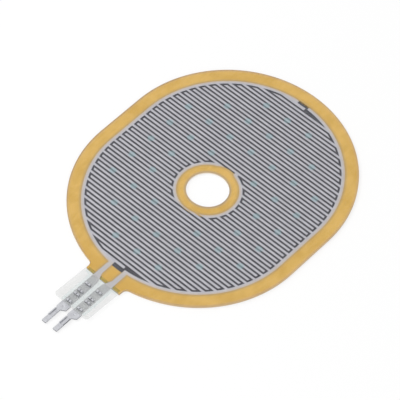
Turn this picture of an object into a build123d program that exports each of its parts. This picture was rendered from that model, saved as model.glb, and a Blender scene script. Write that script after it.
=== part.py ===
from build123d import *
import os
from math import sqrt

# Thin printed force sensor: an oblong head with a hole through it and a short tail with two solder tabs.
# Origin on the axis of the hole, on the rear face. The tail points to -X, the layers are stacked along +Z.

# Head
head_radius = 22.5
head_flat = 10.0  # between the centres of the two round ends
hole_radius = 3.85
hole_offset = 1.6  # from the hole to the middle of the head, away from the tail

# Tail film
tail_width = 7.9
tail_length = 9.25  # from the root, where the tail meets the round end
tail_backed = 1.45  # length of the tail that the lower layers reach
tail_skew = 2.0  # degrees that the cut runs out of line with the print
tail_corner = 0.6
neck_radius = 1.0

# Thickness of each layer, from the rear face up
liner_thickness = 0.05
adhesive_thickness = 0.10
lower_film_thickness = 0.125
ink_thickness = 0.02
spacer_thickness = 0.125
dot_thickness = 0.05
silver_thickness = 0.02
top_film_thickness = 0.175
coating_cover = 0.03  # coating below the silver

# Silver print
border_width = 2.5  # clear border outside the silver
hole_border = 1.75  # clear border round the hole
bus_width = 0.6
finger_pitch = 0.8
finger_gap = 0.38
ring_width = 0.55
ring_relief_radius = 3.05  # rounds off the ends of the half rings at their right break
ring_relief_depth = 0.32
ring_relief_height = 0.2
root_break = 1.2  # half the break between the two buses at the tail
far_break_low = -0.95
far_break_high = 1.37
far_break_past = 0.05  # how far each break reaches past the bus
root_break_past = 0.12
bridge_top = -1.05
bridge_width = 0.8
feed_web = 0.2  # least width that the hole's border leaves of a finger that feeds a half ring

# Traces down the tail
trace_width = 0.9
band_width = 1.74  # under the terminals
taper_start = 0.45  # from the root
taper_length = 1.8
taper_radius = 1.5
trace_inset = 0.15  # from the end of the film

# Spacers, ink and dots
spacer_clearance = 0.06  # from the ink to the adhesive round it
ink_inset = 0.15  # from the outer edge of the silver
ink_overlap = 0.17  # under the ring round the hole
ink_shift = (0.04, -0.1)  # of the ink's hole, as printed
ink_tab_reach = 0.1  # past the silver, in the break at the tail
dot_radius = 0.6
dot_sides = 12  # so small that the print comes out round
dot_pitch = 5.0
dot_inset = 3.0  # from the outer edge of the silver
dot_clear_x = 2.85  # from the ring round the hole
dot_clear_y = 0.25

# Insulating coating on the tail
coating_overlap = 0.5  # onto the lower layers
coating_head_length = 1.1
coating_head_inset = 0.35  # from the sides of the tail
coating_margin = 0.58  # past the traces
coating_inset = 0.3  # from the end of the film
print_clearance = 0.02

# Crimped solder tabs
tab_pitch = 2.54
stock = 0.2
plate_width = 1.44
plate_length = 6.0
shoulder_cover = 0.2  # length of the shoulder that lies under the film
shoulder_length = 1.25
shoulder_width = 1.95
shoulder_chamfer = 0.2
neck_length = 0.5
tab_length = 3.65
tab_width = 0.95
tab_shift = 0.3  # off the middle of the plate
tab_tip_radius = 0.12
rail_height = 0.25
rail_inset = 0.15
rail_length = 2.0
dimple_radius = 0.22
dimple_depth = 0.06
dimple_place = 0.85  # from the start of the shoulder
tine_offsets = (-2.35, -0.45, 0.45, 2.35)  # from the middle of the row
tine_row_inset = 2.85  # from the shoulder to the middle of the row
tine_width = 0.42
tine_gauge = 1.1  # over the two legs of a pair
tine_reach = 0.33  # from the middle of a tine's leg to the middle of its tip
tine_bend = 0.22
tine_height = 0.3  # above the film
tine_clearance = 0.05
plate_clearance = 0.06

# Heights of the layers
adhesive_z = liner_thickness
lower_film_z = adhesive_z + adhesive_thickness
ink_z = lower_film_z + lower_film_thickness
top_film_z = ink_z + spacer_thickness
silver_z = top_film_z - silver_thickness
dot_z = silver_z - dot_thickness
coating_z = silver_z - coating_cover
top_z = top_film_z + top_film_thickness
plate_z = silver_z - stock

# Places that follow from the sizes
root_x = hole_offset - head_flat / 2 - sqrt(head_radius**2 - tail_width**2 / 4)
silver_radius = head_radius - border_width
ring_inner = hole_radius + hole_border
ring_outer = ring_inner + ring_width
ring_relief_x = ring_inner + ring_relief_depth - ring_relief_radius
ink_hole_radius = ring_outer - ink_overlap
cap_radius = ring_outer + finger_gap
bus_inner = silver_radius - bus_width
far_break_depth = bus_width + far_break_past
root_break_depth = bus_width + root_break_past
finger_radius = bus_inner - finger_gap
finger_width = finger_pitch - finger_gap
left_silver_x = hole_offset - head_flat / 2 - silver_radius
right_silver_x = hole_offset + head_flat / 2 + silver_radius
trace_outer = root_break + trace_width
band_inner = (tab_pitch - band_width) / 2
band_outer = (tab_pitch + band_width) / 2
taper_end = taper_start + taper_length
trace_end = tail_length - trace_inset
shoulder_start = tail_length - shoulder_cover
plate_start = shoulder_start - plate_length
neck_start = shoulder_start + shoulder_length
neck_end = neck_start + neck_length
tab_end = neck_end + tab_length
rail_start = neck_end + rail_inset
rail_end = rail_start + rail_length
fingers_per_side = int((head_flat / 2 + finger_radius) / finger_pitch - 0.5) + 1
wide = 4 * head_radius  # larger than the whole sensor


def box_2d(x_low, x_high, y_low, y_high):
    middle = Pos((x_low + x_high) / 2, (y_low + y_high) / 2)
    return middle * Rectangle(x_high - x_low, y_high - y_low)


def half(sign):
    return Pos(0, sign * wide / 2) * Rectangle(2 * wide, wide)


def oblong(radius):
    return Pos(hole_offset, 0) * SlotCenterToCenter(head_flat, 2 * radius)


def layer(shape, low, thickness):
    return extrude(Pos(0, 0, low) * shape, thickness)


# Outline of a sheet: the head, the skewed tail, rounded corners in the neck, and the hole
def sheet_outline(length, corner=0):
    reach = head_radius / 2
    tail = Pos((reach - length) / 2, 0) * Rectangle(length + reach, tail_width)
    if corner:
        tail = fillet(tail.vertices().group_by(Axis.X)[0], corner)
    outline = oblong(head_radius) + Pos(root_x, 0) * Rot(0, 0, -tail_skew) * tail
    neck = [v for v in outline.vertices() if abs(v.X - root_x) < neck_radius / 2]
    return fillet(neck, neck_radius) - Circle(hole_radius)


# Silver fingers run across the head. Finger 0 is at its middle, and they belong to the two combs in turn
def finger_x(index):
    return hole_offset + index * finger_pitch


def line_after(index):
    return finger_x(index + 0.5)


def line_before(index):
    return finger_x(index - 0.5)


def owner(index):
    return 1 if (index + fingers_per_side) % 2 == 0 else -1


# The half rings are fed by the nearest fingers of their comb that keep a web beside the hole's border
inner_fingers = range(1 - fingers_per_side, fingers_per_side)
left_reach = ring_inner + feed_web - finger_width / 2
right_reach = left_reach + ring_relief_depth
ring_feed_left = max(i for i in inner_fingers if owner(i) < 0 and finger_x(i) < -left_reach)
ring_feed_right = min(i for i in inner_fingers if owner(i) > 0 and finger_x(i) > right_reach)

# The upper half ring runs from its feed finger to its last finger
ring_left = line_before(ring_feed_left) + finger_gap / 2
ring_right = line_before(ring_feed_right) - finger_gap / 2


def strip(index):
    return Pos(finger_x(index), 0) * Rectangle(finger_width, 2 * wide)


# Bars that join the half rings to the last fingers on either side, for the other comb grown by the gap
def upper_bar(grown=0):
    return box_2d(finger_x(ring_feed_left), finger_x(ring_feed_right - 1), -grown, bridge_width + grown)


def lower_bar(grown=0):
    low = bridge_top - bridge_width
    return box_2d(finger_x(ring_feed_left + 1), finger_x(ring_feed_right), low - grown, bridge_top + grown)


# All inner fingers of one comb. Those that meet the hole stop short of the ring on their own side,
# and join the half ring on the other side
def inner_strips(sign):
    own_side = oblong(finger_radius) + (oblong(bus_inner + bus_width / 2) & half(sign))
    own = [i for i in inner_fingers if owner(i) == sign]
    stopped = [strip(i) for i in own if ring_feed_left < i < ring_feed_right]
    through = [strip(i) for i in own if not ring_feed_left < i < ring_feed_right]
    other_bar = upper_bar(finger_gap) if sign > 0 else lower_bar(finger_gap)
    near = (Sketch() + stopped) & (own_side & half(sign)) - Circle(cap_radius)
    far = (Sketch() + stopped) & (oblong(finger_radius) & half(-sign)) - Circle(ring_inner)
    return ((Sketch() + through) & own_side) + ((near + far) - other_bar)


def ring():
    return Circle(ring_outer) - Circle(ring_inner)


def upper_half_ring():
    return (ring() & box_2d(ring_left, ring_right, 0, ring_outer)) + (upper_bar() - Circle(ring_inner))


# Lower half ring: it ends at the gap line on the left, and its bar is the bridge to the finger at its right
def lower_half_ring():
    left_end = line_after(ring_feed_left) + finger_gap / 2
    arc = ring() & box_2d(left_end, ring_outer, -ring_outer, bridge_top)
    return arc + (lower_bar() - Circle(ring_inner))


def ring_relief():
    return Pos(ring_relief_x, ring_relief_height) * Circle(ring_relief_radius)


def root_window():
    return box_2d(left_silver_x - 1, left_silver_x + root_break_depth, -root_break, root_break)


def far_window():
    return box_2d(right_silver_x - far_break_depth, right_silver_x + 1, far_break_low, far_break_high)


# The outermost finger at each end belongs to the upper comb and ends below the break in the bus
def end_fingers():
    inside = finger_x(fingers_per_side) - finger_width / 2
    left_inside = finger_x(-fingers_per_side) + finger_width / 2
    right = box_2d(inside, right_silver_x, far_break_low + finger_gap, head_radius)
    left = box_2d(left_silver_x, left_inside, finger_gap - root_break, head_radius)
    return (left + right) & oblong(bus_inner + bus_width / 2)


def bus(sign):
    return (oblong(silver_radius) - oblong(bus_inner)) & half(sign)


# Trace from the bus down the tail, widened into a band under the terminal
def trace(sign):
    start = left_silver_x + bus_width / 2
    points = [
        (start, root_break), (root_x - taper_start, root_break), (root_x - taper_end, band_inner),
        (root_x - trace_end, band_inner), (root_x - trace_end, band_outer),
        (root_x - taper_end, band_outer), (root_x - taper_start, trace_outer), (start, trace_outer),
    ]
    shape = make_face(Polyline([(x, sign * y) for x, y in points], close=True))
    bends = [v for v in shape.vertices() if root_x - trace_end < v.X < start]
    return fillet(bends, taper_radius)


def comb_print(sign):
    shape = bus(sign) + inner_strips(sign)
    if sign > 0:
        shape = shape + lower_half_ring() + end_fingers()
    else:
        shape = shape + upper_half_ring()
    shape = shape - Circle(ring_inner) - ring_relief()
    return shape - root_window() - far_window() + trace(sign) - tine_slots(sign)


# Tines of a terminal stand in pairs along the middle of its plate
def tine_places():
    return [root_x - shoulder_start + tine_row_inset - offset for offset in tine_offsets]


def tine_leg(side):
    return side * (tine_gauge - stock) / 2


def tine_slots(sign):
    slot = Rectangle(tine_width + 2 * tine_clearance, stock + 2 * tine_clearance)
    places = [(x, sign * tab_pitch / 2 + tine_leg(side)) for x in tine_places() for side in (-1, 1)]
    return Sketch() + [Pos(x, y) * slot for x, y in places]


# One tine: up through the film from the plate, bent over and down again until its tip bites on the film
def tine(x, side):
    middle = tine_leg(side) - side * tine_reach / 2
    low = plate_z + stock / 2
    high = top_z + tine_height
    inner = (tine_reach - stock) / 2
    outer = inner + stock
    section = fillet(box_2d(-outer, outer, low, high).vertices().group_by(Axis.Y)[-1], tine_bend)
    section -= box_2d(-inner, inner, low, high - stock)
    section -= box_2d(-outer, -inner, low, top_z + print_clearance)
    section = Pos(middle, 0) * (section if side > 0 else mirror(section, Plane.YZ))
    return extrude(Pos(x, 0, 0) * (Plane.YZ * section), tine_width / 2, both=True)


# Flat outline of a terminal: plate under the film, wider shoulder, neck and solder tab
def terminal_outline():
    shoulder = shoulder_width / 2
    tab_low = tab_shift - tab_width / 2
    tab_high = tab_shift + tab_width / 2
    points = [
        (plate_start, -plate_width / 2), (shoulder_start, -plate_width / 2), (shoulder_start, -shoulder),
        (neck_start, -shoulder), (neck_end, tab_low), (tab_end, tab_low), (tab_end, tab_high),
        (neck_end, tab_high), (neck_end - shoulder_chamfer, shoulder), (shoulder_start, shoulder),
        (shoulder_start, plate_width / 2), (plate_start, plate_width / 2),
    ]
    shape = make_face(Polyline([(root_x - u, v) for u, v in points], close=True))
    return fillet(shape.vertices().group_by(Axis.X)[0], tab_tip_radius)


def rail(side):
    low = plate_z + stock
    rise = rail_height / 2
    profile = Polyline(
        (root_x - rail_start, low), (root_x - rail_start - rise, low + rail_height),
        (root_x - rail_end + rise, low + rail_height), (root_x - rail_end, low), close=True,
    )
    middle = tab_shift + side * (tab_width - stock) / 2
    return extrude(Pos(0, middle, 0) * (Plane.XZ * make_face(profile)), stock / 2, both=True)


def terminal():
    solid = layer(terminal_outline(), plate_z, stock) + rail(-1) + rail(1)
    for x in tine_places():
        solid += [tine(x, side) for side in (-1, 1)]
    dimple_x = root_x - shoulder_start - dimple_place
    dimple = Pos(dimple_x, 0, plate_z + stock + dimple_radius - dimple_depth)
    return solid - dimple * Sphere(dimple_radius)


# Adhesive frame round the silver and the ink's tab, with pockets for the traces and the coating
def border_spacer(coating):
    frame = sheet_outline(tail_backed) - oblong(silver_radius + print_clearance)
    frame -= offset(ink_tab(), spacer_clearance)
    traces = Sketch() + [offset(trace(sign), print_clearance) for sign in (-1, 1)]
    solid = layer(frame, ink_z, spacer_thickness)
    return solid - layer(traces, silver_z, silver_thickness) - layer(coating, coating_z, spacer_thickness)


# Adhesive ring round the hole, with a step for the silver that laps onto it
def hole_spacer():
    edge = Pos(*ink_shift) * Circle(ink_hole_radius - spacer_clearance)
    silver = Circle(ring_outer) - Circle(ring_inner - print_clearance)
    solid = layer(edge - Circle(hole_radius), ink_z, spacer_thickness)
    return solid - layer(silver, silver_z, silver_thickness)


def ink_tab():
    return box_2d(left_silver_x - ink_tab_reach, hole_offset - head_flat / 2, -root_break, root_break)


def ink_print():
    return oblong(silver_radius - ink_inset) + ink_tab() - Pos(*ink_shift) * Circle(ink_hole_radius)


def coating_outline():
    start = root_x - tail_backed + coating_overlap
    head_half = tail_width / 2 - coating_head_inset
    body_half = band_outer + coating_margin
    head = box_2d(start - coating_head_length, start, -head_half, head_half)
    return head + box_2d(root_x - tail_length + coating_inset, start, -body_half, body_half)


# Coating over the traces, open where the terminals touch them
def tail_coating():
    traces = Sketch() + [offset(trace(sign), print_clearance) for sign in (-1, 1)]
    plate = offset(terminal_outline(), plate_clearance)
    windows = Sketch() + [Pos(0, sign * tab_pitch / 2) * plate for sign in (-1, 1)]
    solid = layer(coating_outline(), coating_z, top_film_z - coating_z)
    return solid - layer(traces, silver_z, silver_thickness) - layer(windows, coating_z, coating_cover)


# Dots on a square grid about the middle of the head, kept away from the edge and from the hole
def dot_places():
    limit = silver_radius - dot_inset
    clear_x = ring_outer + dot_clear_x
    clear_y = ring_outer + dot_clear_y
    count = int((head_flat / 2 + limit) / dot_pitch)
    places = []
    for row in range(-count, count + 1):
        for column in range(-count, count + 1):
            x = column * dot_pitch
            y = row * dot_pitch
            past_flat = max(abs(x) - head_flat / 2, 0)
            inside = past_flat**2 + y**2 < limit**2
            by_hole = ((x + hole_offset) / clear_x) ** 2 + (y / clear_y) ** 2 < 1
            if inside and not by_hole:
                places.append((x + hole_offset, y))
    return places


def spacer_dots():
    dot = layer(RegularPolygon(dot_radius, dot_sides), dot_z, dot_thickness)
    return Compound([Pos(x, y, 0) * dot for x, y in dot_places()])


def top_film():
    outline = sheet_outline(tail_length, tail_corner)
    return layer(outline - tine_slots(1) - tine_slots(-1), top_film_z, top_film_thickness)


backed_outline = sheet_outline(tail_backed)
one_terminal = terminal()

nodes = {
    "top_film": top_film(),
    "upper_comb": layer(comb_print(1), silver_z, silver_thickness),
    "lower_comb": layer(comb_print(-1), silver_z, silver_thickness),
    "tail_coating": tail_coating(),
    "spacer_dots": spacer_dots(),
    "border_spacer": border_spacer(coating_outline()),
    "hole_spacer": hole_spacer(),
    "resistive_ink": layer(ink_print(), ink_z, ink_thickness),
    "lower_film": layer(backed_outline, lower_film_z, lower_film_thickness),
    "rear_adhesive": layer(backed_outline, adhesive_z, adhesive_thickness),
    "release_liner": layer(backed_outline, 0, liner_thickness),
    "upper_terminal": Pos(0, tab_pitch / 2, 0) * one_terminal,
    "lower_terminal": Pos(0, -tab_pitch / 2, 0) * one_terminal,
}

os.makedirs("parts", exist_ok=True)
for name, shape in nodes.items():
    export_step(shape, f"parts/{name}.step")
    print(name, len(shape.solids()), "solids", round(shape.volume, 4), "mm3")
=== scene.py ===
from math import radians

import bmesh
import bpy
from mathutils import Matrix, Vector


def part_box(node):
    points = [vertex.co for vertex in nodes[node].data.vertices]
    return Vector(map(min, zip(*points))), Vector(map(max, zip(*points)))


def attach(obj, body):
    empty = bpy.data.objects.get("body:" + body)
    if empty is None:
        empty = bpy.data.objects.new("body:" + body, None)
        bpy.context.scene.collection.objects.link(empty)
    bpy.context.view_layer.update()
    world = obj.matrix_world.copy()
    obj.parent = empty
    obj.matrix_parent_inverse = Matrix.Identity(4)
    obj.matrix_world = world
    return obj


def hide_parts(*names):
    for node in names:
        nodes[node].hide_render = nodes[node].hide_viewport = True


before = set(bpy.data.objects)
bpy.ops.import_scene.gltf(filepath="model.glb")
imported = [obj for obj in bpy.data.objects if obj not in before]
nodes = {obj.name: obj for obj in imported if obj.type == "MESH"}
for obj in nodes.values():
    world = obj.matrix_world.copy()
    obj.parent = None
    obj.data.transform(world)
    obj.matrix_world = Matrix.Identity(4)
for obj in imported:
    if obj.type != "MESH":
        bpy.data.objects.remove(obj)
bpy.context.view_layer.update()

mm = 0.001
print("sensor frame loaded:", len(nodes), "nodes")

# Where the photographer stood, in mm and degrees. The tail points towards the lower left of the picture
photoView = {
    "aim": (-2.61, -0.515, 0.39),
    "distance": 461.9,
    "elevation": 53.21,
    "heading": 38.38,  # ground direction of the look, from +X towards +Y
    "roll": 4.31,
    "focal": 236.7,
    "sensor": 36.0,
    "nearest": 10.0,
    "farthest": 10000.0,
}


def makeCamera(view):
    data = bpy.data.cameras.new("photoCamera")
    data.lens = view["focal"]
    data.sensor_width = view["sensor"]
    data.sensor_fit = "HORIZONTAL"
    data.clip_start = view["nearest"] * mm
    data.clip_end = view["farthest"] * mm
    camera = bpy.data.objects.new("photoCamera", data)
    turn = Matrix.Rotation(radians(view["heading"] - 90), 4, "Z")
    tip = Matrix.Rotation(radians(90 - view["elevation"]), 4, "X")
    roll = Matrix.Rotation(radians(view["roll"]), 4, "Z")
    back = Matrix.Translation((0, 0, view["distance"] * mm))
    camera.matrix_world = Matrix.Translation(Vector(view["aim"]) * mm) @ turn @ tip @ roll @ back
    bpy.context.scene.collection.objects.link(camera)
    bpy.context.scene.camera = camera


makeCamera(photoView)
bpy.context.scene.view_settings.view_transform = "Standard"
print("camera placed")


# Small helpers for the node trees

def srgb(red, green, blue):
    parts = [c / 255 for c in (red, green, blue)]
    linear = [c / 12.92 if c <= 0.04045 else ((c + 0.055) / 1.055) ** 2.4 for c in parts]
    return (*linear, 1.0)


def put(tree, socket, value):
    if isinstance(value, bpy.types.NodeSocket):
        tree.links.new(value, socket)
    else:
        socket.default_value = value


def calc(tree, operation, *values):
    node = tree.nodes.new("ShaderNodeMath")
    node.operation = operation
    for socket, value in zip(node.inputs, values):
        put(tree, socket, value)
    return node.outputs[0]


def plus(tree, first, second):
    return calc(tree, "ADD", first, second)


def minus(tree, first, second):
    return calc(tree, "SUBTRACT", first, second)


def times(tree, first, second):
    return calc(tree, "MULTIPLY", first, second)


def ratio(tree, first, second):
    return calc(tree, "DIVIDE", first, second)


def larger(tree, first, second):
    return calc(tree, "MAXIMUM", first, second)


def absolute(tree, value):
    return calc(tree, "ABSOLUTE", value)


def hypotenuse(tree, first, second):
    return calc(tree, "SQRT", plus(tree, times(tree, first, first), times(tree, second, second)))


def asVector(tree, *parts):
    node = tree.nodes.new("ShaderNodeCombineXYZ")
    for socket, part in zip(node.inputs, parts):
        put(tree, socket, part)
    return node.outputs[0]


def xy(tree, place):
    split = tree.nodes.new("ShaderNodeSeparateXYZ")
    put(tree, split.inputs[0], place)
    return split.outputs[0], split.outputs[1]


# Goes softly from 0 at the start to 1 at the end
def fade(tree, value, start, end):
    node = tree.nodes.new("ShaderNodeMapRange")
    node.interpolation_type = "SMOOTHSTEP"
    put(tree, node.inputs["Value"], value)
    node.inputs["From Min"].default_value = start
    node.inputs["From Max"].default_value = end
    return node.outputs["Result"]


def between(tree, amount, low, high):
    return calc(tree, "MULTIPLY_ADD", amount, high - low, low)


# Among the sockets of a mix node, 6 and 7 take the colours and output 2 gives one
def mixColour(tree, amount, first, second):
    node = tree.nodes.new("ShaderNodeMix")
    node.data_type = "RGBA"
    put(tree, node.inputs[0], amount)
    put(tree, node.inputs[6], first)
    put(tree, node.inputs[7], second)
    return node.outputs[2]


# Lays a tint over a colour where the mask is 1. A tint is a colour and its strength
def overlay(tree, colour, mask, tint):
    shade, strength = tint
    return mixColour(tree, times(tree, mask, strength), colour, shade)


def placeInMm(tree):
    where = tree.nodes.new("ShaderNodeTexCoord")
    scale = tree.nodes.new("ShaderNodeMapping")
    scale.inputs["Scale"].default_value = (1 / mm, 1 / mm, 1 / mm)
    put(tree, scale.inputs["Vector"], where.outputs["Object"])
    return scale.outputs["Vector"]


# Soft noise. Each finish gives its marks to the mm, its detail and, where it has one, its stretch
# along each axis
def speckle(tree, place, marksPerMm, detail, stretch=(1, 1, 1)):
    shape = tree.nodes.new("ShaderNodeMapping")
    shape.inputs["Scale"].default_value = [marksPerMm / s for s in stretch]
    put(tree, shape.inputs["Vector"], place)
    noise = tree.nodes.new("ShaderNodeTexNoise")
    noise.inputs["Scale"].default_value = 1.0
    noise.inputs["Detail"].default_value = detail
    put(tree, noise.inputs["Vector"], shape.outputs["Vector"])
    return noise.outputs["Fac"]


# Sum of two noises, with the first one's share of it
def mixedTone(tree, first, second, share):
    return plus(tree, times(tree, first, share), times(tree, second, 1 - share))


def toneColour(tree, tone, spec):
    return mixColour(tree, fade(tree, tone, *spec["toneRange"]), spec["dark"], spec["light"])


def startFinish(name, look):
    material = bpy.data.materials.new(name)
    material.use_nodes = True
    tree = material.node_tree
    shader = tree.nodes["Principled BSDF"]
    for socketName, value in look.items():
        shader.inputs[socketName].default_value = value
    return material, tree, shader


def setColour(tree, shader, spec, colour, wear):
    put(tree, shader.inputs["Base Color"], colour)
    put(tree, shader.inputs["Roughness"], between(tree, wear, *spec["roughness"]))


# The relief of a finish is its strength and its depth in mm
def raiseGrain(tree, shader, spec, height):
    strength, depth = spec["relief"]
    bump = tree.nodes.new("ShaderNodeBump")
    bump.inputs["Strength"].default_value = strength
    bump.inputs["Distance"].default_value = depth * mm
    put(tree, bump.inputs["Height"], height)
    put(tree, shader.inputs["Normal"], bump.outputs["Normal"])


# Plan of the sensor in mm, as far as the patterns follow it
sensorPlan = {
    "headRadius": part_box("lower_film")[1].y / mm,
    "headFlat": 10.0,
    "holeRadius": 3.85,
    "tailRoot": -25.55,
    "backedEnd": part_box("lower_film")[0].x / mm,
    "headBlend": (0.3, 1.5),  # from the root of the tail to where the head's looks are full
}
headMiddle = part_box("top_film")[1].x / mm - sensorPlan["headRadius"] - sensorPlan["headFlat"] / 2


# Fades along X between two distances from a place in the plan
def fadeFrom(tree, x, place, blend):
    start, end = blend
    return fade(tree, x, sensorPlan[place] + start, sensorPlan[place] + end)


def onHead(tree, x):
    return fadeFrom(tree, x, "tailRoot", sensorPlan["headBlend"])


# Distance from the straight middle of the head, which its round ends are measured from
def fromFlat(tree, fromMiddle, y, halfFlat):
    pastFlat = larger(tree, minus(tree, absolute(tree, fromMiddle), halfFlat), 0.0)
    return hypotenuse(tree, pastFlat, y)


# How far a point lies inside the edge of the head, in mm
def depthInHead(tree, x, y):
    reach = fromFlat(tree, minus(tree, x, headMiddle), y, sensorPlan["headFlat"] / 2)
    return minus(tree, sensorPlan["headRadius"], reach)


def depthFromHole(tree, x, y):
    return minus(tree, hypotenuse(tree, x, y), sensorPlan["holeRadius"])


# Where the silver begins, in mm. The relief is the circle that rounds off the ends of the half rings
silverEdge = {
    "borderDepth": 2.5,
    "ringRadius": 5.6,
    "reliefX": 2.87,
    "reliefY": 0.2,
    "reliefRadius": 3.05,
    "traceStart": -21.4,
    "traceOuter": 2.1,
    "traceInner": 1.2,
    "taperStart": -26.0,
    "taper": 0.444,
}


# How far a point lies from the edge of the silver, in mm: above 0 on the adhesive, below 0 on the silver
def besideSilver(tree, x, y):
    edge = silverEdge
    fromBus = minus(tree, edge["borderDepth"], depthInHead(tree, x, y))
    fromRing = minus(tree, edge["ringRadius"], hypotenuse(tree, x, y))
    offRelief = hypotenuse(tree, minus(tree, x, edge["reliefX"]), minus(tree, y, edge["reliefY"]))
    fromRelief = minus(tree, edge["reliefRadius"], offRelief)
    fromCombs = larger(tree, fromBus, larger(tree, fromRing, fromRelief))
    side = absolute(tree, y)
    pastTaper = larger(tree, minus(tree, edge["taperStart"], x), 0.0)
    inner = minus(tree, edge["traceInner"], times(tree, pastTaper, edge["taper"]))
    fromSides = larger(tree, minus(tree, side, edge["traceOuter"]), minus(tree, inner, side))
    fromTrace = larger(tree, fromSides, minus(tree, x, edge["traceStart"]))
    return calc(tree, "MINIMUM", fromCombs, fromTrace)


# Spacer dots stand on a square grid about the middle of the head. Sizes are in mm, by the names that
# they have in the dots' node tree
dotGrid = {
    "Pitch": 5.0,
    "Half Flat": sensorPlan["headFlat"] / 2,
    "Edge Limit": 17.0,  # from the straight middle of the head
    "Head Middle": headMiddle,
    "Hole Clear X": 9.0,  # half axes of the bare patch about the hole
    "Hole Clear Y": 6.4,
}


# 1 where the print has a dot, for a place of the grid that is given from the middle of the head
def hasDot(tree, column, row, sizes):
    reach = fromFlat(tree, column, row, sizes["Half Flat"])
    inside = calc(tree, "LESS_THAN", reach, sizes["Edge Limit"])
    holeX = ratio(tree, plus(tree, column, sizes["Head Middle"]), sizes["Hole Clear X"])
    holeY = ratio(tree, row, sizes["Hole Clear Y"])
    clear = calc(tree, "GREATER_THAN", hypotenuse(tree, holeX, holeY), 1.0)
    return times(tree, inside, clear)


# The dots show faintly through the silver, a little wider than they are
dotShade = {
    "radius": 0.68,
    "blur": 0.16,
}


def toGrid(tree, value, pitch):
    return times(tree, calc(tree, "ROUND", ratio(tree, value, pitch)), pitch)


def dotMask(tree, x, y):
    fromMiddle = minus(tree, x, headMiddle)
    column = toGrid(tree, fromMiddle, dotGrid["Pitch"])
    row = toGrid(tree, y, dotGrid["Pitch"])
    away = hypotenuse(tree, minus(tree, fromMiddle, column), minus(tree, y, row))
    radius, blur = dotShade["radius"], dotShade["blur"]
    spot = fade(tree, away, radius + blur, radius - blur)
    return times(tree, spot, hasDot(tree, column, row, dotGrid))


# Gloss of the film that lies over the prints
underFilm = {"Coat Weight": 0.35, "Coat Roughness": 0.22}

# Screen printed silver: a matt metal paste with a fine grain, and soft clouds where it lies thicker
silverPrint = {
    "look": {"Metallic": 0.25, **underFilm},
    "light": srgb(191, 190, 197),
    "dark": srgb(175, 174, 181),
    "toneRange": (0.32, 0.68),
    "roughness": (0.42, 0.62),
    "underDots": (srgb(154, 176, 184), 0.7),
    "onRoot": (srgb(182, 177, 172), 0.55),  # over the adhesive
    "rootBlend": (2.6, 1.4),
    "onTail": (srgb(180, 185, 188), 0.8),  # seen through film and varnish
    "tailBlend": (0.3, -0.9),
    "edgeTone": (srgb(198, 176, 142), 0.6),  # browner along its edges, in the adhesive's tone
    "edgeToneWidth": 0.55,
    "grain": (7.0, 3.0),
    "clouds": (0.6, 2.0),
    "grainShare": 0.55,
    "relief": (0.25, 0.006),
}


def makeSilver(spec):
    material, tree, shader = startFinish("silverPrint", spec["look"])
    place = placeInMm(tree)
    x, y = xy(tree, place)
    grain = speckle(tree, place, *spec["grain"])
    clouds = speckle(tree, place, *spec["clouds"])
    colour = toneColour(tree, mixedTone(tree, grain, clouds, spec["grainShare"]), spec)
    nearEdge = fade(tree, besideSilver(tree, x, y), -spec["edgeToneWidth"], 0.0)
    colour = overlay(tree, colour, times(tree, nearEdge, onHead(tree, x)), spec["edgeTone"])
    colour = overlay(tree, colour, fadeFrom(tree, x, "tailRoot", spec["rootBlend"]), spec["onRoot"])
    colour = overlay(tree, colour, fadeFrom(tree, x, "backedEnd", spec["tailBlend"]), spec["onTail"])
    colour = overlay(tree, colour, dotMask(tree, x, y), spec["underDots"])
    setColour(tree, shader, spec, colour, grain)
    raiseGrain(tree, shader, spec, grain)
    return material


# Carbon ink, nearly black, with a fine grain and faint clouds
carbonPrint = {
    "look": underFilm,
    "light": srgb(70, 70, 78),
    "dark": srgb(52, 51, 59),
    "toneRange": (0.3, 0.7),
    "roughness": (0.5, 0.68),
    "grain": (5.0, 3.0),
    "clouds": (0.35, 2.0),
    "grainShare": 0.5,
    "relief": (0.3, 0.008),
}


def makeCarbon(spec):
    material, tree, shader = startFinish("carbonPrint", spec["look"])
    place = placeInMm(tree)
    grain = speckle(tree, place, *spec["grain"])
    clouds = speckle(tree, place, *spec["clouds"])
    colour = toneColour(tree, mixedTone(tree, grain, clouds, spec["grainShare"]), spec)
    setColour(tree, shader, spec, colour, grain)
    raiseGrain(tree, shader, spec, grain)
    return material


# Spacer dots: hard teal lacquer
dotPrint = {
    "look": underFilm,
    "light": srgb(106, 127, 132),
    "dark": srgb(90, 110, 115),
    "toneRange": (0.3, 0.7),
    "roughness": (0.34, 0.5),
    "grain": (6.0, 2.0),
    "relief": (0.2, 0.006),
}


def makeDotLacquer(spec):
    material, tree, shader = startFinish("dotPrint", spec["look"])
    grain = speckle(tree, placeInMm(tree), *spec["grain"])
    setColour(tree, shader, spec, toneColour(tree, grain, spec), grain)
    raiseGrain(tree, shader, spec, grain)
    return material


# Amber spacer adhesive: soft mottling, drawn out along the web, browner at the cut edges, partly the
# edges' own tone and partly painted shade, and darkened by painted shade beside the silver. Each edge
# has a colour, a width in mm and a strength
amberAdhesive = {
    "look": underFilm,
    "light": srgb(217, 175, 86),
    "dark": srgb(204, 161, 66),
    "toneRange": (0.34, 0.66),
    "roughness": (0.48, 0.66),
    "outerEdge": (srgb(192, 168, 140), 0.6, 0.45),
    "holeEdge": (srgb(170, 152, 128), 0.6, 0.75),
    "stepShade": (srgb(158, 138, 104), 0.65, 0.55),  # painted shade beside the silver's step
    "onTail": (srgb(203, 158, 58), 0.6),  # deeper where the sheets narrow to the tail
    "tailBlend": (2.4, 1.2),
    "mottles": (0.3, 3.0),
    "fibres": (1.6, 2.0, (3, 1, 1)),
    "mottleShare": 0.65,
    "relief": (0.12, 0.008),
}

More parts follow.
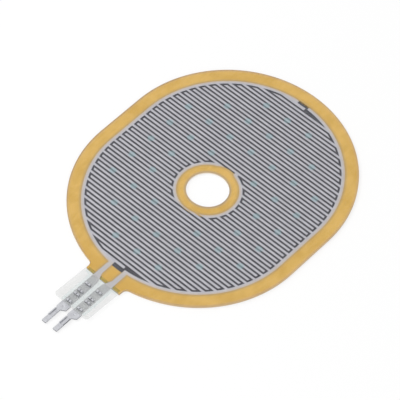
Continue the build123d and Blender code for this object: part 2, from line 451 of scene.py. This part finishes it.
# Liner paper, of a like amber but with short fibres
linerPaper = {
    "look": {},
    "light": srgb(214, 176, 110),
    "dark": srgb(200, 160, 92),
    "toneRange": (0.34, 0.66),
    "roughness": (0.48, 0.66),
    "outerEdge": (srgb(238, 226, 202), 0.1, 0.9),
    "holeEdge": (srgb(238, 226, 202), 0.1, 0.9),
    "mottles": (0.3, 3.0),
    "fibres": (3.0, 2.0, (5, 1, 1)),
    "mottleShare": 0.65,
    "relief": (0.2, 0.01),
}


# Tints a colour along an edge, from which the distance in mm is given
def tintAlong(tree, colour, distance, where, edge):
    shade, width, strength = edge
    near = times(tree, fade(tree, distance, width, 0.0), where)
    return overlay(tree, colour, near, (shade, strength))


def makeAmber(name, spec):
    material, tree, shader = startFinish(name, spec["look"])
    place = placeInMm(tree)
    x, y = xy(tree, place)
    mottles = speckle(tree, place, *spec["mottles"])
    fibres = speckle(tree, place, *spec["fibres"])
    colour = toneColour(tree, mixedTone(tree, mottles, fibres, spec["mottleShare"]), spec)
    if "onTail" in spec:
        colour = overlay(tree, colour, fadeFrom(tree, x, "tailRoot", spec["tailBlend"]), spec["onTail"])
    # Painted shade: the amber is darkened beside the silver, where the printed step would shade it
    if "stepShade" in spec:
        fromSilver = larger(tree, besideSilver(tree, x, y), 0.0)
        colour = tintAlong(tree, colour, fromSilver, 1.0, spec["stepShade"])
    # Browner towards the head's rim and the hole: the edges' own tone with painted shade
    colour = tintAlong(tree, colour, depthInHead(tree, x, y), onHead(tree, x), spec["outerEdge"])
    colour = tintAlong(tree, colour, depthFromHole(tree, x, y), 1.0, spec["holeEdge"])
    setColour(tree, shader, spec, colour, fibres)
    raiseGrain(tree, shader, spec, fibres)
    return material


# Clear polyester and clear adhesive. Over the printed head they hardly show, on the bare tail
# they look milky
clearFilm = {
    "look": {"IOR": 1.5},
    "light": srgb(216, 216, 214),
    "dark": srgb(197, 197, 196),
    "toneRange": (0.3, 0.7),
    "roughness": (0.14, 0.3),
    "haze": (0.012, 0.2),  # alpha on the head and on the tail
    "hazeSpread": (0.75, 1.25),
    "tailBlend": (0.1, -0.1),
    "clouds": (0.35, 3.0),
    "scratches": (5.0, 2.0, (9, 1, 1)),
    "relief": (0.08, 0.004),
}
clearAdhesive = {
    **clearFilm,
    "look": {"IOR": 1.47},
    "light": srgb(232, 226, 208),
    "dark": srgb(214, 205, 182),
    "haze": (0.02, 0.02),
    "clouds": (0.5, 3.0),
    "scratches": (2.0, 2.0),
    "relief": (0.05, 0.004),
}


def makeClear(name, spec):
    material, tree, shader = startFinish(name, spec["look"])
    place = placeInMm(tree)
    x, y = xy(tree, place)
    clouds = speckle(tree, place, *spec["clouds"])
    scratches = speckle(tree, place, *spec["scratches"])
    haze = between(tree, fadeFrom(tree, x, "backedEnd", spec["tailBlend"]), *spec["haze"])
    put(tree, shader.inputs["Alpha"], times(tree, haze, between(tree, clouds, *spec["hazeSpread"])))
    setColour(tree, shader, spec, toneColour(tree, clouds, spec), scratches)
    raiseGrain(tree, shader, spec, scratches)
    return material


# Cut edges of the clear sheets: light brown round the head, their own tone with painted shade, cream in
# the hole, painted light where light shines through the clear walls, and pale on the tail. Each sheet
# has its colour round the head, its colour in the hole, and the alpha of both
cutEdge = {
    "top": (srgb(200, 170, 124), srgb(200, 170, 124), 0.8),
    "lower": (srgb(196, 170, 132), srgb(252, 243, 226), 0.95),
    "adhesive": (srgb(214, 192, 160), srgb(253, 251, 246), 0.95),
    "tail": srgb(205, 211, 212),
    "tailAlpha": 0.25,
    "tailStart": 0.2,
    "holeBlend": (3.0, 1.0),  # distances from the wall of the hole
    "alphaSpread": (0.8, 1.2),
    "roughness": (0.3, 0.5),
    "streaks": (3.0, 2.0, (1, 1, 0.2)),
}


def makeCutEdge(name, spec, sheet):
    rimColour, holeColour, headAlpha = spec[sheet]
    material, tree, shader = startFinish(name, {})
    place = placeInMm(tree)
    x, y = xy(tree, place)
    streaks = speckle(tree, place, *spec["streaks"])
    onTail = fade(tree, x, sensorPlan["tailRoot"] + spec["tailStart"], sensorPlan["backedEnd"])
    inHole = fade(tree, depthFromHole(tree, x, y), *spec["holeBlend"])
    # Painted shade in the brown round the head, painted light in the cream of the hole
    headColour = mixColour(tree, inHole, rimColour, holeColour)
    alpha = between(tree, onTail, headAlpha, spec["tailAlpha"])
    put(tree, shader.inputs["Alpha"], times(tree, alpha, between(tree, streaks, *spec["alphaSpread"])))
    setColour(tree, shader, spec, mixColour(tree, onTail, headColour, spec["tail"]), streaks)
    return material


# Insulating varnish over the traces, greener where it climbs onto the lower layers
tailVarnish = {
    "look": {"IOR": 1.5},
    "step": srgb(120, 158, 76),
    "flat": srgb(186, 250, 252),
    "stepBlend": (-0.12, 0.02),
    "alpha": (0.08, 0.13),  # on the flat and on the step
    "alphaSpread": (0.8, 1.2),
    "roughness": (0.2, 0.34),
    "clouds": (1.2, 2.0),
    "relief": (0.1, 0.004),
}


def makeVarnish(spec):
    material, tree, shader = startFinish("tailVarnish", spec["look"])
    place = placeInMm(tree)
    x, y = xy(tree, place)
    clouds = speckle(tree, place, *spec["clouds"])
    onStep = fadeFrom(tree, x, "backedEnd", spec["stepBlend"])
    alpha = between(tree, onStep, *spec["alpha"])
    put(tree, shader.inputs["Alpha"], times(tree, alpha, between(tree, clouds, *spec["alphaSpread"])))
    setColour(tree, shader, spec, mixColour(tree, onStep, spec["flat"], spec["step"]), clouds)
    raiseGrain(tree, shader, spec, clouds)
    return material


# Tinned bronze strip: bright, with the marks of rolling along it and small dull patches
tinnedMetal = {
    "look": {"Metallic": 0.65},
    "light": srgb(194, 195, 199),
    "dark": srgb(179, 180, 185),
    "toneRange": (0.34, 0.66),
    "roughness": (0.32, 0.54),
    "rolling": (12.0, 2.0, (14, 1, 1)),
    "patches": (1.6, 3.0),
    "rollingShare": 0.4,
    "relief": (0.15, 0.004),
}

# Its side walls, drawn darker: painted shade
edgeShadeMetal = {
    **tinnedMetal,
    "light": srgb(124, 124, 130),
    "dark": srgb(104, 104, 110),
}


def makeTinnedMetal(name, spec):
    material, tree, shader = startFinish(name, spec["look"])
    place = placeInMm(tree)
    rolling = speckle(tree, place, *spec["rolling"])
    patches = speckle(tree, place, *spec["patches"])
    tone = mixedTone(tree, rolling, patches, spec["rollingShare"])
    setColour(tree, shader, spec, toneColour(tree, tone, spec), patches)
    raiseGrain(tree, shader, spec, tone)
    return material


finishes = {
    "silver": makeSilver(silverPrint),
    "carbon": makeCarbon(carbonPrint),
    "dots": makeDotLacquer(dotPrint),
    "amber": makeAmber("amberAdhesive", amberAdhesive),
    "liner": makeAmber("linerPaper", linerPaper),
    "film": makeClear("clearFilm", clearFilm),
    "adhesive": makeClear("clearAdhesive", clearAdhesive),
    "topEdge": makeCutEdge("topFilmEdge", cutEdge, "top"),
    "lowerEdge": makeCutEdge("lowerFilmEdge", cutEdge, "lower"),
    "adhesiveEdge": makeCutEdge("rearAdhesiveEdge", cutEdge, "adhesive"),
    "varnish": makeVarnish(tailVarnish),
    "metal": makeTinnedMetal("tinnedMetal", tinnedMetal),
    "edgeShade": makeTinnedMetal("edgeShadeMetal", edgeShadeMetal),
}
print("finishes made:", len(finishes))


# Combs, ink, spacers and liner keep the frame's own meshes
keptNodes = {
    "upper_comb": "silver",
    "lower_comb": "silver",
    "resistive_ink": "carbon",
    "border_spacer": "amber",
    "hole_spacer": "amber",
    "release_liner": "liner",
}
for nodeName, finish in keptNodes.items():
    mesh = nodes[nodeName].data
    mesh.materials.clear()
    mesh.materials.append(finishes[finish])
print("printed layers finished")


# Clear sheets are redrawn a hair smaller, so that no two faces lie in one plane
sheetSkin = {
    "shrink": 0.003,
    "merge": 0.0001,
    "flatAngle": 0.5,
    "edgeRound": 0.05,
    "edgeSteps": 2,
    "steepest": 0.7,  # a face whose normal rises less than this is part of the cut edge
    "level": 0.995,  # faces that lie as level as this are shaded flat
    "smoothAngle": 50,
}


def meshOfNode(nodeName):
    work = bmesh.new()
    work.from_mesh(nodes[nodeName].data)
    bmesh.ops.remove_doubles(work, verts=work.verts, dist=sheetSkin["merge"] * mm)
    flat = radians(sheetSkin["flatAngle"])
    bmesh.ops.dissolve_limit(work, angle_limit=flat, verts=work.verts, edges=work.edges)
    work.normal_update()
    return work


def shrinkMesh(work, amount):
    moves = [(v, v.normal * v.calc_shell_factor() * amount * mm) for v in work.verts]
    for v, move in moves:
        v.co -= move


def roundEdges(work, edges, size):
    bmesh.ops.bevel(
        work, geom=edges, offset=size["edgeRound"] * mm, segments=size["edgeSteps"], profile=0.5,
        affect="EDGES", clamp_overlap=True,
    )


# Edges round the top face
def topRim(work):
    top = max(v.co.z for v in work.verts)
    return [
        e for e in work.edges
        if all(abs(v.co.z - top) < sheetSkin["merge"] * mm for v in e.verts)
        and e.calc_face_angle(0) > radians(sheetSkin["smoothAngle"])
    ]


def isSteep(face):
    return abs(face.normal.z) < sheetSkin["steepest"]


def joinSensor(piece, nodeName):
    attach(piece, "root")
    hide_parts(nodeName)


# The second of the two materials goes on the faces that onEdge picks
def addPiece(work, name, nodeName, materials, onEdge):
    work.normal_update()
    for face in work.faces:
        face.smooth = abs(face.normal.z) < sheetSkin["level"]
        face.material_index = int(onEdge(face))
    for edge in work.edges:
        edge.smooth = edge.calc_face_angle(0) < radians(sheetSkin["smoothAngle"])
    mesh = bpy.data.meshes.new(name)
    work.to_mesh(mesh)
    work.free()
    for material in materials:
        mesh.materials.append(finishes[material])
    piece = bpy.data.objects.new(name, mesh)
    bpy.context.scene.collection.objects.link(piece)
    joinSensor(piece, nodeName)


def addClearSheet(name, nodeName, materials, rounded=False):
    work = meshOfNode(nodeName)
    shrinkMesh(work, sheetSkin["shrink"])
    if rounded:
        roundEdges(work, topRim(work), sheetSkin)
    addPiece(work, name, nodeName, materials, isSteep)


addClearSheet("clearTopFilm", "top_film", ("film", "topEdge"), rounded=True)
addClearSheet("clearLowerFilm", "lower_film", ("film", "lowerEdge"))
addClearSheet("rearAdhesive", "rear_adhesive", ("adhesive", "adhesiveEdge"))
addClearSheet("traceVarnish", "tail_coating", ("varnish", "topEdge"))
print("clear sheets laid")


# Spacer dots are small drops of lacquer that hang from the combs
lacquerDrop = {
    "radius": 0.6,
    "sides": 24,
    "rings": 4,
    "gridPoints": 9,  # along each side, before the places off the print go
}


def addSocket(tree, name, kind, side):
    return tree.interface.new_socket(name=name, in_out=side, socket_type=kind).identifier


# Adds a geometry node, with what goes into it by the names of its sockets
def addStep(tree, kind, feeds):
    node = tree.nodes.new(kind)
    for socketName, value in feeds.items():
        put(tree, node.inputs[socketName], value)
    return node.outputs[0]


# Grid of points, less those where the print has no dot
def layDotPlaces(tree, given):
    count = lacquerDrop["gridPoints"]
    span = times(tree, given["Pitch"], count - 1.0)
    grid = {"Size X": span, "Size Y": span, "Vertices X": count, "Vertices Y": count}
    points = addStep(tree, "GeometryNodeMeshGrid", grid)
    column, row = xy(tree, addStep(tree, "GeometryNodeInputPosition", {}))
    bare = minus(tree, 1.0, hasDot(tree, column, row, given))
    return addStep(tree, "GeometryNodeDeleteGeometry", {"Geometry": points, "Selection": bare})


# One drop: a cone whose rings are lifted onto a round dome
def shapeDrop(tree, given):
    radius, height = given["Drop Radius"], given["Drop Height"]
    cone = {
        "Vertices": lacquerDrop["sides"], "Side Segments": lacquerDrop["rings"],
        "Radius Top": 0.0, "Radius Bottom": radius, "Depth": height,
    }
    drop = addStep(tree, "GeometryNodeMeshCone", cone)
    x, y = xy(tree, addStep(tree, "GeometryNodeInputPosition", {}))
    outward = ratio(tree, hypotenuse(tree, x, y), radius)
    fall = minus(tree, 1.0, times(tree, outward, outward))
    rise = calc(tree, "SQRT", larger(tree, fall, 0.0))
    domed = asVector(tree, x, y, times(tree, rise, height))
    return addStep(tree, "GeometryNodeSetPosition", {"Geometry": drop, "Position": domed})


def makeDotTree(sizes):
    tree = bpy.data.node_groups.new("dotLayout", "GeometryNodeTree")
    names = {name: addSocket(tree, name, "NodeSocketFloat", "INPUT") for name in sizes}
    addSocket(tree, "Drops", "NodeSocketGeometry", "OUTPUT")
    given = tree.nodes.new("NodeGroupInput").outputs
    spread = {
        "Points": layDotPlaces(tree, given), "Instance": shapeDrop(tree, given),
        "Rotation": (radians(180), 0, 0),  # the domes point down
    }
    drops = addStep(tree, "GeometryNodeInstanceOnPoints", spread)
    seat = asVector(tree, given["Head Middle"], 0.0, given["Level"])
    drops = addStep(tree, "GeometryNodeTransform", {"Geometry": drops, "Translation": seat})
    drops = addStep(tree, "GeometryNodeRealizeInstances", {"Geometry": drops})
    drops = addStep(tree, "GeometryNodeSetMaterial", {"Geometry": drops, "Material": finishes["dots"]})
    put(tree, tree.nodes.new("NodeGroupOutput").inputs["Drops"], drops)
    return tree, names


def addDots(name, nodeName):
    low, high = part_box(nodeName)
    sizes = {sizeName: value * mm for sizeName, value in dotGrid.items()}
    sizes["Drop Radius"] = lacquerDrop["radius"] * mm
    sizes["Drop Height"] = high.z - low.z
    sizes["Level"] = high.z
    tree, names = makeDotTree(sizes)
    piece = bpy.data.objects.new(name, bpy.data.meshes.new(name))
    bpy.context.scene.collection.objects.link(piece)
    layout = piece.modifiers.new("dotLayout", "NODES")
    layout.node_group = tree
    for inputName, value in sizes.items():
        layout[names[inputName]] = value
    evaluated = piece.evaluated_get(bpy.context.evaluated_depsgraph_get())
    mesh = bpy.data.meshes.new_from_object(evaluated)
    piece.modifiers.remove(layout)
    piece.data = mesh
    joinSensor(piece, nodeName)
    print("lacquer drops laid:", len(mesh.polygons), "faces")


addDots("lacquerDots", "spacer_dots")


# Crimped tabs are the stamped strip with its burrs rounded off
crimpTab = {
    "edgeRound": 0.035,
    "edgeSteps": 2,
    "edgeAngle": 35,
    "smallest": 0.001,  # shorter edges are closed up
}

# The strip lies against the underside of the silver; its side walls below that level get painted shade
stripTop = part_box("upper_comb")[0].z


def inEdgeShade(face):
    return isSteep(face) and face.calc_center_median().z < stripTop


def addCrimpTab(name, nodeName):
    work = meshOfNode(nodeName)
    sharp = [e for e in work.edges if e.calc_face_angle(0) > radians(crimpTab["edgeAngle"])]
    roundEdges(work, sharp, crimpTab)
    bmesh.ops.remove_doubles(work, verts=work.verts, dist=crimpTab["smallest"] * mm)
    addPiece(work, name, nodeName, ("metal", "edgeShade"), inEdgeShade)


addCrimpTab("upperCrimpTab", "upper_terminal")
addCrimpTab("lowerCrimpTab", "lower_terminal")
print("crimped tabs added")


# Even light tent: a bright world and two large soft lamps over a pale floor. The lamps are in watts
# and metres
lightTent = {
    "worldLevel": 0.66,
    "key": {"power": 1.36, "size": 0.42, "place": (-0.12, 0.34, 0.46)},
    "fill": {"power": 0.78, "size": 0.5, "place": (-0.42, -0.33, 0.27)},
    "floorLook": {"Base Color": (0.98, 0.98, 0.98, 1.0), "Roughness": 0.9, "Specular IOR Level": 0.0},
    "floorGlow": 0.7,  # share of plain white in the floor as the camera sees it, for a faint shadow
    "floorDrop": 0.01,  # mm under the liner
    "floorSize": 6.0,  # metres
    "clearDepth": 32,  # the stack of clear sheets is many faces deep
}


def softLamp(name, spec):
    data = bpy.data.lights.new(name, "AREA")
    data.shape = "DISK"
    data.size = spec["size"]
    data.energy = spec["power"]
    lamp = bpy.data.objects.new(name, data)
    lamp.location = spec["place"]
    lamp.rotation_euler = (-Vector(spec["place"])).to_track_quat("-Z", "Y").to_euler()
    bpy.context.scene.collection.objects.link(lamp)


# 1 for rays from the camera and for rays that a gloss or a clear surface sends on
def seenDirectly(tree):
    path = tree.nodes.new("ShaderNodeLightPath")
    straight = larger(tree, path.outputs["Is Camera Ray"], path.outputs["Is Glossy Ray"])
    return larger(tree, straight, path.outputs["Is Transmission Ray"])


def makeWorld(tent):
    world = bpy.data.worlds.new("lightTent")
    bpy.context.scene.world = world
    world.use_nodes = True
    tree = world.node_tree
    background = tree.nodes["Background"]
    background.inputs["Color"].default_value = (1, 1, 1, 1)
    strength = between(tree, seenDirectly(tree), tent["worldLevel"], 1.0)
    put(tree, background.inputs["Strength"], strength)


def makeFloor(tent):
    work = bmesh.new()
    bmesh.ops.create_grid(work, x_segments=1, y_segments=1, size=tent["floorSize"] / 2)
    bmesh.ops.translate(work, verts=work.verts, vec=(0, 0, -tent["floorDrop"] * mm))
    mesh = bpy.data.meshes.new("paleFloor")
    work.to_mesh(mesh)
    work.free()
    material, tree, shader = startFinish("paleFloor", tent["floorLook"])
    white = tree.nodes.new("ShaderNodeEmission")
    blend = tree.nodes.new("ShaderNodeMixShader")
    put(tree, blend.inputs[0], times(tree, seenDirectly(tree), tent["floorGlow"]))
    put(tree, blend.inputs[1], shader.outputs[0])
    put(tree, blend.inputs[2], white.outputs[0])
    put(tree, tree.nodes["Material Output"].inputs["Surface"], blend.outputs[0])
    mesh.materials.append(material)
    floor = bpy.data.objects.new("paleFloor", mesh)
    bpy.context.scene.collection.objects.link(floor)


softLamp("keyLamp", lightTent["key"])
softLamp("fillLamp", lightTent["fill"])
makeWorld(lightTent)
makeFloor(lightTent)
bpy.context.scene.cycles.transparent_max_bounces = lightTent["clearDepth"]
print("light and floor set")
